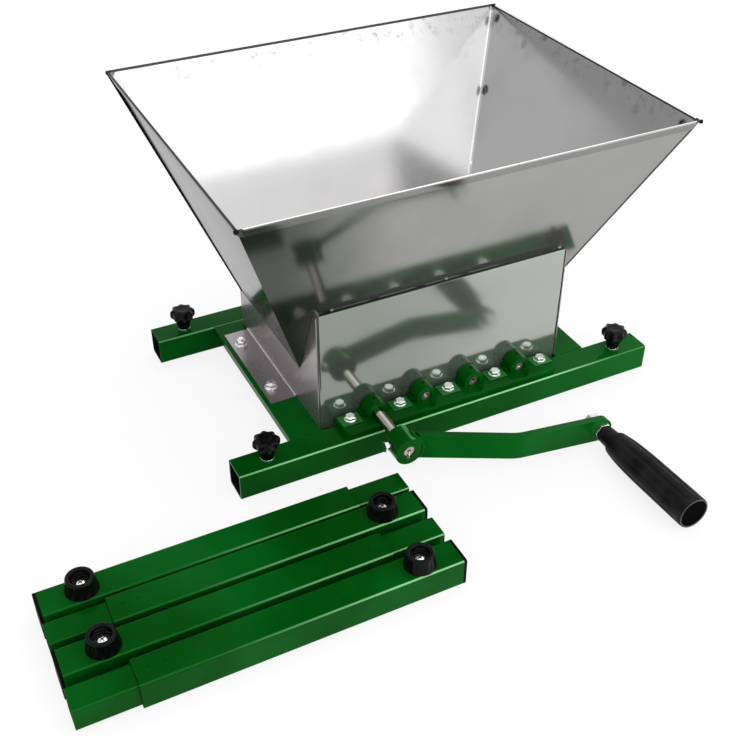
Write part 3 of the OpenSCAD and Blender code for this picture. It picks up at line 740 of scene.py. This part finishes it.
def fasteners():
    """The bolts that hold the strips to the rails and the side plates to the cross bars."""
    tree = fastener_tree()
    strip_y = (STRIP_BOLT_Y, RAIL_SPACING - STRIP_BOLT_Y)
    strip = [(i * SHAFT_PITCH, y, PAD_TOP) for i in range(-2, 3) for y in strip_y]
    plate = [
        (x, HOPPER_Y + y, PLATE_FLANGE_Z)
        for x in (-PLATE_BOLT_X, PLATE_BOLT_X)
        for y in (-PLATE_BOLT_REACH, PLATE_BOLT_REACH)
    ]
    plate_sizes = {
        "Washer Radius": 0.007,
        "Head Height": 0.005,
        "Thread Reach": 0.002,
        "Shank Length": 0.0092,
        "Lower Depth": 0.0132,
        "Lower Height": 0.004,
    }
    for node, places, sizes in (("strip_bolts", strip, {}), ("side_plate_bolts", plate, plate_sizes)):
        seats = bolt_seats(node + "_seats", places)
        mesh = grown(node + "_grown", seats, tree, sizes, MATERIALS["zinc_plate"])
        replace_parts(piece(node + "_shown", mesh, "zinc_plate", "frame"), node)


def flange_welds():
    """Spot welds that hold the apron's top flange to the hopper."""
    wall_y = HOPPER_Y - THROAT[1] / 2 - (APRON_TOP - THROAT_Z) * math.tan(FRONT_LEAN)
    weld_x = (-124.0, 1.2, 136.0)
    half, radius = 1.6, 1.2
    spots = []
    for x in weld_x:
        ends = [(x - half, wall_y - 1.8, APRON_TOP + 0.3), (x + half, wall_y - 1.6, APRON_TOP + 0.5)]
        spots.append(bead("flange_weld", ends, radius, MATERIALS["gear_steel"]))
    piece("flange_welds", joined_mesh("flange_welds", spots), "gear_steel", "frame")


def bar_welds():
    """Painted beads where the cross bars meet the rails, each sagging a little in the middle."""
    reach = BAR_WIDTH / 2 - 0.5
    end_z, middle_z = 28.9, 28.8
    radius = 1.0
    beads = []
    for x in (-BAR_X, BAR_X):
        for y in (RAIL_HALF, RAIL_SPACING - RAIL_HALF):
            path = [(x - reach, y, end_z), (x, y, middle_z), (x + reach, y, end_z)]
            beads.append(bead("bar_weld", path, radius, MATERIALS["green_paint"]))
    piece("bar_welds", joined_mesh("bar_welds", beads), "green_paint", "frame")


def plate_bends():
    """The bend between each side plate and its flange: a bead with a painted highlight."""
    reach = THROAT[1] / 2 - 11
    z = PLATE_FLANGE_Z + 0.3
    radius = 1.0
    bends = []
    for x in (-PLATE_BEND_X, PLATE_BEND_X):
        ends = [(x, HOPPER_Y - reach, z), (x, HOPPER_Y + reach, z)]
        bends.append(bead("plate_bend", ends, radius, BEND_HIGHLIGHT_PAINT))
    piece("plate_bends", joined_mesh("plate_bends", bends), "stainless_sheet", "frame")


# Hopper

# Places of the finishes in each wall's list of materials
# DARK and BRIGHT are painted shade and a painted highlight on the rims' folds; DARK also darkens the cut
# ends and one seam strip
INSIDE, OUTSIDE, HEM, DARK, BRIGHT = range(5)
# Width of the strips along a wall's ends, and of the band under its rim, in millimetres
SEAM_WIDTH = 4.0
RIM_BAND = 1.6
# Segments of a wall's section: where the rim begins, how many its fold has, where hem and back begin
RIM_FROM = 2
FOLD_STEPS = 8
HEM_FROM = RIM_FROM + 1 + FOLD_STEPS
BACK_FROM = HEM_FROM + 4
# The strips of a wall that lie along its two ends
FIRST_STRIP, LAST_STRIP = 0, 5


def wall_section(slant):
    """Points round a wall's section: (up the slope, outwards, how far the sheet is cut back at its ends)."""
    fold = SHEET
    crest = slant - fold
    hem_end = slant - HEM_DEPTH
    fold_cut, top_cut, hem_cut = 3.2, 3.5, 4.5
    chamfer, slope = 0.4, 0.1
    section = [(0.0, 0.0, 0.0), (slant * 0.5, 0.0, 0.0), (crest - RIM_BAND, 0.0, 0.0), (crest, 0.0, 0.0)]
    for i in range(1, FOLD_STEPS):
        angle = math.pi * i / FOLD_STEPS
        up, out = fold * math.sin(angle), fold - fold * math.cos(angle)
        section.append((crest + up, out, fold_cut * i / FOLD_STEPS))
    return section + [
        (crest, 2 * SHEET, top_cut),
        (hem_end + chamfer, 2 * SHEET, hem_cut),
        (hem_end, 2 * SHEET - chamfer, hem_cut),
        (hem_end, SHEET, hem_cut),
        (hem_end - slope, SHEET, 0.0),
        (slant * 0.5, SHEET, 0.0),
        (0.0, SHEET, 0.0),
    ]


def sheet_wall(name, turn, sizes, outside, rim_tones, dark_strip, bright_strip):
    """One sloping sheet with a hem folded outwards along the rim.

    The rim's tones run over the fold from its inner band to outside as painted highlight and painted shade;
    the outside of one end strip may be dark from the seam, and the inside of one carries a painted highlight
    where the sheet is bent round the corner."""
    bottom, top, start, lean = sizes
    slant = RISE / math.cos(lean)
    section = wall_section(slant)
    up = Vector((0, -math.sin(lean), math.cos(lean)))
    out = Vector((0, -math.cos(lean), -math.sin(lean)))
    rings = []
    for s, t, cut in section:
        half = bottom / 2 + (top - bottom) / 2 * s / slant - cut
        seam = half - SEAM_WIDTH
        columns = (-half, -seam, -half / 2, 0.0, half / 2, seam, half)
        rings.append([Vector((across, -start, 0)) + up * s + out * t for across in columns])
    mesh = ring_mesh(name, list(zip(*rings)))
    mesh.transform(millimetre_move(0, HOPPER_Y, THROAT_Z) @ Matrix.Rotation(turn, 4, "Z"))
    smooth_by_angle(mesh, 30)
    for material in (HOPPER_INSIDE, outside, HEM_FACE, RIM_DARK, RIM_HIGHLIGHT_PAINT):
        mesh.materials.append(material)
    for face in mesh.polygons:
        strip, segment = divmod(face.index, len(section))
        if strip > LAST_STRIP:
            finish = DARK
        elif segment < RIM_FROM:
            finish = BRIGHT if strip == bright_strip else INSIDE
        elif segment < HEM_FROM:
            tone = rim_tones[min(segment - RIM_FROM, len(rim_tones) - 1)]
            finish = DARK if strip in (FIRST_STRIP, LAST_STRIP) else tone
        elif segment < BACK_FROM:
            finish = HEM
        else:
            finish = DARK if strip == dark_strip else OUTSIDE
        face.material_index = finish
    return mesh


def hopper():
    end_sizes = (THROAT[0] + 2 * LAP, RIM[0] + 2 * LAP, THROAT[1] / 2, FRONT_LEAN)
    side_sizes = (THROAT[1] - 2 * SEAM_GAP, RIM[1] - 2 * SEAM_GAP, THROAT[0] / 2, SIDE_LEAN)
    # Tones over the fold of each rim: painted highlights and painted shade
    front_rim = (INSIDE,) + (BRIGHT,) * 5 + (HEM,)
    right_rim = (DARK,) + (BRIGHT,) * 3 + (DARK,) * 3 + (BRIGHT,) * 2
    quarter = math.pi / 2
    walls = (
        ("hopper_front", 0.0, end_sizes, HOPPER_OUTSIDE, front_rim, LAST_STRIP, None),
        ("hopper_rear", 2 * quarter, end_sizes, HOPPER_OUTSIDE, (DARK,), None, FIRST_STRIP),
        ("hopper_left", -quarter, side_sizes, SIDE_OUTSIDE, (DARK,), FIRST_STRIP, None),
        ("hopper_right", quarter, side_sizes, SIDE_OUTSIDE, right_rim, None, None),
    )
    for node, *shape_and_looks in walls:
        mesh = sheet_wall(node + "_sheet", *shape_and_looks)
        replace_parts(piece(node + "_shown", mesh, "stainless_sheet", "frame"), node)


def hopper_seams():
    """Dark welded seams down the outside of the rear corners, and burnt weld drops on the rim's corners."""
    seam_out, seam_back, seam_radius = LAP + 0.2, 0.6, 1.1
    drop_z, drop_reach, drop_radius = RIM_Z - 2.1, 2.7, 1.9
    # Front and rear: how far a drop's inner and outer end stand past the rim's corner
    drops = ((-1, 0.0, 1.2), (1, -1.7, 0.2))
    seams = []
    for side in (-1, 1):
        ends = [
            (side * (THROAT[0] / 2 + seam_out), HOPPER_Y + THROAT[1] / 2 - seam_back, THROAT_Z + 1),
            (side * (RIM[0] / 2 + seam_out), HOPPER_Y + RIM[1] / 2 - seam_back, RIM_Z - 3),
        ]
        seams.append(bead("seam", ends, seam_radius, SEAM_SOOT))
        for end, inner, outer in drops:
            ends = [
                (side * (RIM[0] / 2 + inner), HOPPER_Y + end * (RIM[1] / 2 + inner), drop_z),
                (side * (RIM[0] / 2 + drop_reach), HOPPER_Y + end * (RIM[1] / 2 + outer), drop_z),
            ]
            seams.append(bead("corner_drop", ends, drop_radius, SEAM_SOOT))
    piece("hopper_seams", joined_mesh("hopper_seams", seams), "stainless_sheet", "frame")


def corner_welds():
    """A short bright bead low in each rear corner of the hopper."""
    low, high = (169.6, 256.0, 148.6), (171.2, 257.8, 152.8)
    radius = 1.3
    welds = []
    for side in (-1, 1):
        ends = [(side * x, y, z) for x, y, z in (low, high)]
        welds.append(bead("corner_weld", ends, radius, MATERIALS["zinc_plate"]))
    piece("corner_welds", joined_mesh("corner_welds", welds), "zinc_plate", "frame")


# Crank, grip and knobs


def crank_place():
    """Where a crank piece goes that is drawn with its arm along +X and its shaft along Y."""
    return millimetre_move(DRIVE_X, 0, SHAFT_Z) @ Matrix.Rotation(CRANK_DROP, 4, "Y")


def flat_arm_place():
    """Where a piece goes that is square to the crank's twisted outer end."""
    lean = Matrix.Rotation(-GRIP_LEAN, 4, "X")
    there = millimetre_move(0, ARM_OUTER_Y, ARM_RISE)
    return crank_place() @ there @ lean @ millimetre_move(0, -ARM_OUTER_Y, 0)


def hub_weld():
    """A bead where the flat arm's root meets the round hub."""
    bend = ARM_ROOT_Y - ARM_OUTER_Y
    lean = math.atan(bend / ARM_BEND)
    root_rise = ARM_RISE - bend * math.sin(GRIP_LEAN)
    half_high, steps, radius = 12.4, 12, 2.2
    across_ends = (-0.5, 0.0, 0.5)

    def on_hub(z, side):
        x = math.sqrt(HUB_RADIUS * HUB_RADIUS - z * z)
        y = ARM_ROOT_Y - x * math.tan(lean) + side * ARM_HALF_THICK / math.cos(lean)
        return (x, y, z)

    heights = [root_rise + half_high * (2 * i / steps - 1) for i in range(steps + 1)]
    path = [on_hub(z, -1) for z in heights]
    path += [on_hub(heights[-1], side) for side in across_ends]
    path += [on_hub(z, 1) for z in reversed(heights)]
    path += [on_hub(heights[0], side) for side in reversed(across_ends)]
    mesh = bead("hub_weld", path, radius, MATERIALS["green_paint"], closed=True)
    mesh.transform(crank_place())
    piece("hub_weld", mesh, "green_paint", "drive")


def crank():
    arm = eased("crank_arm", 1.0, 3)

    # Faces that get the painted edge highlight
    def highlit_arm_edge(centre, normal):
        return normal.y < -0.35 and normal.z > 0.35

    # Faces on top of the hub that get the painted highlight
    def hub_top(centre, normal):
        reach = math.hypot(centre.x - DRIVE_X * MM, centre.z - SHAFT_Z * MM)
        upward = abs(normal.y) < 0.2 and 0.08 < normal.x < 0.42 and normal.z > 0.85
        return upward and reach < (HUB_RADIUS + 1.5) * MM

    faces_in(arm, ARM_EDGE_HIGHLIGHT_PAINT, highlit_arm_edge)
    faces_in(arm, HUB_HIGHLIGHT_PAINT, hub_top)
    hub_weld()
    eased("crank_set_screw", 0.3)
    eased("grip_bolt", 0.4)


# The grip's outline from its flat end to the bottom of its recess: (along, radius, share of the flutes)
GRIP_OUTLINE = (
    (0.0, 7.5, 0), (0.0, 8.4, 0), (1.0, 9.4, 0), (8.0, 9.6, 0), (15.0, 10.2, 0), (17.6, 11.2, 0),
    (18.6, 12.5, 0), (20.0, 13.1, 0), (25.0, 13.9, 0), (33.0, 14.9, 0.3), (40.0, 15.5, 0.6),
    (50.0, 16.1, 0.8), (64.0, 16.5, 0.8), (84.0, 16.7, 0.8), (104.0, 16.8, 0.8), (120.0, 16.9, 0.8),
    (127.0, 16.9, 0.5), (131.5, 16.9, 0.1), (134.0, 16.9, 0), (136.8, 16.7, 0), (137.7, 16.2, 0),
    (137.98, 15.6, 0), (137.98, 15.1, 0), (137.7, 14.7, 0), (137.2, 14.55, 0), (135.2, 14.5, 0),
    (135.0, 14.2, 0), (135.0, 8.5, 0), (134.6, 8.2, 0), (112.0, 8.2, 0), (111.9, 1.0, 0),
)
GRIP_FLUTES = 9
FLUTE_DEPTH = 1.1


def grip():
    """Tapered grip with shallow flutes and a recessed end."""

    def fluted(depth, radius):
        return lambda angle: 1 - depth * max(0.0, math.cos(GRIP_FLUTES * angle)) ** 1.5 / radius

    rings = [
        circle(radius, along, 144, fluted(share * FLUTE_DEPTH, radius))
        for along, radius, share in GRIP_OUTLINE
    ]
    mesh = ring_mesh("grip_body", rings)
    smooth_by_angle(mesh, 40)
    turn = Matrix.Rotation(math.radians(90), 4, "X")
    mesh.transform(flat_arm_place() @ millimetre_move(CRANK_RADIUS, GRIP_START, 0) @ turn)
    shown = piece("grip_shown", mesh, "grip_plastic", "hand_grip")
    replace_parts(shown, "grip")
    end_centre = flat_arm_place() @ (Vector((CRANK_RADIUS, GRIP_START - GRIP_LENGTH, 0)) * MM)
    rim_from, rim_to = 14.6, 15.9

    def end_rim(centre, normal):
        return rim_from * MM < (centre - end_centre).length < rim_to * MM

    faces_in(shown, GRIP_RIM, end_rim)
    eased("grip_plug", 0.3, finish=GRIP_END)


# The star knob's outline, from the foot of its stem up: (height, radius, depth of the lobes)
KNOB_OUTLINE = (
    (0.0, 5.0, 0), (0.0, 6.6, 0), (0.4, 7.0, 0), (4.0, 7.4, 0), (8.0, 8.4, 0.03), (10.5, 9.8, 0.08),
    (12.2, 11.6, 0.13), (13.4, 13.0, 0.17), (14.6, 13.8, 0.17), (16.0, 14.0, 0.17), (19.5, 14.0, 0.17),
    (21.3, 13.5, 0.17), (22.6, 12.3, 0.15), (23.4, 10.2, 0.09), (23.8, 7.6, 0.03), (23.9, 5.4, 0),
    (23.5, 4.6, 0), (23.4, 3.0, 0),
)
KNOB_LOBES = 8


def knob_mesh():
    """Star knob: a stem that widens into a domed head with round lobes."""

    def lobed(depth):
        return lambda angle: 1 - depth * (0.5 - 0.5 * math.cos(KNOB_LOBES * angle)) ** 0.8

    rings = [circle(radius, height, 120, lobed(depth)) for height, radius, depth in KNOB_OUTLINE]
    mesh = ring_mesh("star_knob", rings)
    smooth_by_angle(mesh, 45)
    return mesh


def knobs():
    """One knob at each corner, each stopped at its own angle."""
    for end, y in (("front", 0.0), ("rear", RAIL_SPACING)):
        for side, x in (("left", -KNOB_X), ("right", KNOB_X)):
            mesh = knob_mesh()
            angle = 0.35 + x * 0.01 + y * 0.003
            mesh.transform(millimetre_move(x, y, KNOB_BASE) @ Matrix.Rotation(angle, 4, "Z"))
            shown = piece(f"knob_{end}_{side}_shown", mesh, "knob_plastic", f"{end}_{side}_knob")
            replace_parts(shown, f"knob_{end}_{side}")


# Support arms

# Outlines of a foot's three turned parts: (height, radius), for the rubber also the share of its ribs
FOOT_RUBBER = (
    (0.0, 6.0, 0), (0.0, 14.6, 0), (0.5, 15.0, 0), (1.6, 14.8, 0.2), (3.0, 14.5, 1), (10.5, 13.1, 1),
    (12.2, 12.8, 0.3), (13.2, 12.7, 0), (14.3, 12.4, 0), (14.9, 11.8, 0), (15.0, 11.0, 0), (15.0, 9.6, 0),
    (14.7, 8.9, 0), (13.8, 8.4, 0), (5.2, 8.1, 0), (5.0, 7.6, 0), (5.0, 2.7, 0),
)
FOOT_WASHER = ((5.02, 3.0), (5.02, 7.4), (5.8, 7.4), (6.0, 7.1), (6.0, 3.0))
FOOT_SCREW = ((6.0, 5.6), (6.5, 5.7), (7.4, 5.2), (8.1, 4.2), (8.5, 2.6), (8.6, 1.0))
FOOT_RIBS = 12
RIB_DEPTH = 0.045
SLOT_SIZE = (5.2, 0.9, 0.6)
SLOT_Z = 8.35
SLOT_TURN = 0.4


def slot_mesh(turn):
    """One bar of the screw's cross slot: a dark bar nearly flush with the head, painted shade in place of
    the slot's depth.
    """
    bar = bmesh.new()
    bmesh.ops.create_cube(bar, size=1.0)
    mesh = bpy.data.meshes.new("foot_slot")
    bar.to_mesh(mesh)
    bar.free()
    size = Matrix.Diagonal([side * MM for side in SLOT_SIZE] + [1])
    mesh.transform(millimetre_move(0, 0, SLOT_Z) @ Matrix.Rotation(turn, 4, "Z") @ size)
    # Black plastic as the painted shade of the slot
    mesh.materials.append(MATERIALS["cap_plastic"])
    return mesh


def foot_mesh():
    """Rubber foot with a washer and a cross-head screw in its recess."""

    def ribbed(share):
        return lambda angle: 1 - RIB_DEPTH * share * (0.5 - 0.5 * math.cos(FOOT_RIBS * angle)) ** 2

    turned = (
        ("foot_body", [circle(r, z, 144, ribbed(share)) for z, r, share in FOOT_RUBBER], "foot_rubber"),
        ("foot_washer", [circle(r, z, 48) for z, r in FOOT_WASHER], "zinc_plate"),
        ("foot_screw", [circle(r, z, 36) for z, r in FOOT_SCREW], "zinc_plate"),
    )
    meshes = []
    for name, rings, slot in turned:
        mesh = ring_mesh(name, rings)
        mesh.materials.append(MATERIALS[slot])
        smooth_by_angle(mesh, 40)
        meshes.append(mesh)
    meshes += [slot_mesh(SLOT_TURN), slot_mesh(SLOT_TURN + math.pi / 2)]
    return joined_mesh("support_foot", meshes)


def support_arms():
    for i, (y, foot_x) in enumerate(zip(ARM_Y, FOOT_X), start=1):
        arm = f"support_arm_{i}"
        tube_finish(eased(arm + "_tube", 0.45), y, RAIL_HALF, SOFT_EDGE_HIGHLIGHT_PAINT)
        tube_finish(eased(arm + "_insert", 0.45), y, INSERT_HALF, SOFT_EDGE_HIGHLIGHT_PAINT)
        eased(arm + "_cap", 0.7)
        mesh = foot_mesh()
        mesh.transform(millimetre_move(foot_x, y, RAIL_TOP))
        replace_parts(piece(arm + "_foot_shown", mesh, "foot_rubber", arm), arm + "_foot")


# Carried-over nodes


def dress_plain_nodes():
    """Gives every CAD node its finish, also those that a piece stands for."""
    for node, shape in frame["nodes"].items():
        shape.data.materials.clear()
        shape.data.materials.append(MATERIALS[SLOT_OF_NODE[node]])


# Studio, in metres, with the camera's angles in degrees and its lens in millimetres

CAMERA_PLACE = (-0.4779, -0.7612, 0.7401)
CAMERA_YAW = 26.57
CAMERA_PITCH = 36.83
FOCAL_LENGTH = 53.24
SENSOR_WIDTH = 36.0
WHITE = (1, 1, 1, 1)


def camera():
    lens = bpy.data.cameras.new("photo_view")
    lens.sensor_width = SENSOR_WIDTH
    lens.lens = FOCAL_LENGTH
    lens.clip_start, lens.clip_end = 0.05, 50.0
    view = set_out("photo_view", lens)
    view.location = CAMERA_PLACE
    view.rotation_euler = (math.radians(90 - CAMERA_PITCH), 0.0, math.radians(-CAMERA_YAW))
    bpy.context.scene.camera = view


def softbox(name, place, target, size, power):
    lamp = bpy.data.lights.new(name, "AREA")
    lamp.shape = "RECTANGLE"
    lamp.size, lamp.size_y = size
    lamp.energy = power
    box = set_out(name, lamp)
    box.location = place
    box.rotation_euler = (Vector(target) - Vector(place)).to_track_quat("-Z", "Y").to_euler()


def board(name, corners):
    """A flat four-cornered piece of the studio and the empty tree of its material."""
    mesh = bpy.data.meshes.new(name)
    mesh.from_pydata(corners, [], [(0, 1, 2, 3)])
    material = bpy.data.materials.new(name)
    mesh.materials.append(material)
    made = set_out(name, mesh)
    return made, empty_shader_tree(material)


def grey_card(name, low, high, tone):
    """An upright card that only polished surfaces see, like the darker end of a studio."""
    (x0, y0, z0), (x1, y1, z1) = low, high
    card, tree = board(name, [(x0, y0, z0), (x1, y1, z0), (x1, y1, z1), (x0, y0, z1)])
    glow = wired(tree, "ShaderNodeEmission", i0=opaque((tone,) * 3)).outputs[0]
    wired(tree, "ShaderNodeOutputMaterial", i0=glow)
    card.visible_camera = False
    card.visible_diffuse = False
    card.visible_shadow = False


def seen_white(tree):
    """How far a ray is one that the camera, metal or glass sees by."""
    path = wired(tree, "ShaderNodeLightPath").outputs
    seen = path["Is Camera Ray"]
    for other in ("Is Glossy Ray", "Is Transmission Ray"):
        seen = wired(tree, "ShaderNodeMath", {"operation": "MAXIMUM"}, i0=seen, i1=path[other]).outputs[0]
    return seen


def world():
    """White to the eye and in reflections, a little darker as a source of light."""
    fill_strength, white_strength = 0.78, 1.0
    studio_world = bpy.data.worlds.new("studio")
    bpy.context.scene.world = studio_world
    tree = empty_shader_tree(studio_world)
    fill = wired(tree, "ShaderNodeBackground", i0=WHITE, i1=fill_strength).outputs[0]
    white = wired(tree, "ShaderNodeBackground", i0=WHITE, i1=white_strength).outputs[0]
    mix = wired(tree, "ShaderNodeMixShader", i0=seen_white(tree), i1=fill, i2=white).outputs[0]
    wired(tree, "ShaderNodeOutputWorld", i0=mix)


def floor():
    """Pale floor: white to the eye, a little darker where the object shades it."""
    half, drop = 4.0, 0.0004
    shade_tone, plain_tone, glow_strength = 0.24, 0.8, 0.81
    ground, tree = board("floor", [(-half, -half, 0), (half, -half, 0), (half, half, 0), (-half, half, 0)])
    ground.location = (0, 0, -drop)
    lit = wired(tree, "ShaderNodeBsdfDiffuse", i0=opaque((shade_tone,) * 3)).outputs[0]
    glow = wired(tree, "ShaderNodeEmission", i0=WHITE, i1=glow_strength).outputs[0]
    seen = wired(tree, "ShaderNodeAddShader", i0=lit, i1=glow).outputs[0]
    plain = wired(tree, "ShaderNodeBsdfDiffuse", i0=opaque((plain_tone,) * 3)).outputs[0]
    mix = wired(tree, "ShaderNodeMixShader", i0=seen_white(tree), i1=plain, i2=seen).outputs[0]
    wired(tree, "ShaderNodeOutputMaterial", i0=mix)


def studio():
    bpy.context.scene.view_settings.view_transform = "Standard"
    world()
    floor()
    hopper_centre = (0.0, 0.15, 0.25)
    front_strip = (0.0, 0.0, 0.05)
    softbox("front_softbox", (0.276, -1.55, 1.28), hopper_centre, (1.8, 1.25), 6.9)
    softbox("overhead_softbox", (0.58, 0.77, 1.72), hopper_centre, (1.5, 1.2), 4.9)
    softbox("low_softbox", (1.4, -1.5, 0.3), front_strip, (1.2, 0.6), 7.5)
    grey_card("rear_card", (-3.2, 1.1, -0.2), (-0.75, 2.05, 1.5), 0.38)


frame_pieces()
hopper()
hopper_seams()
corner_welds()
fasteners()
flange_welds()
bar_welds()
plate_bends()
crank()
grip()
knobs()
support_arms()
dress_plain_nodes()
camera()
studio()
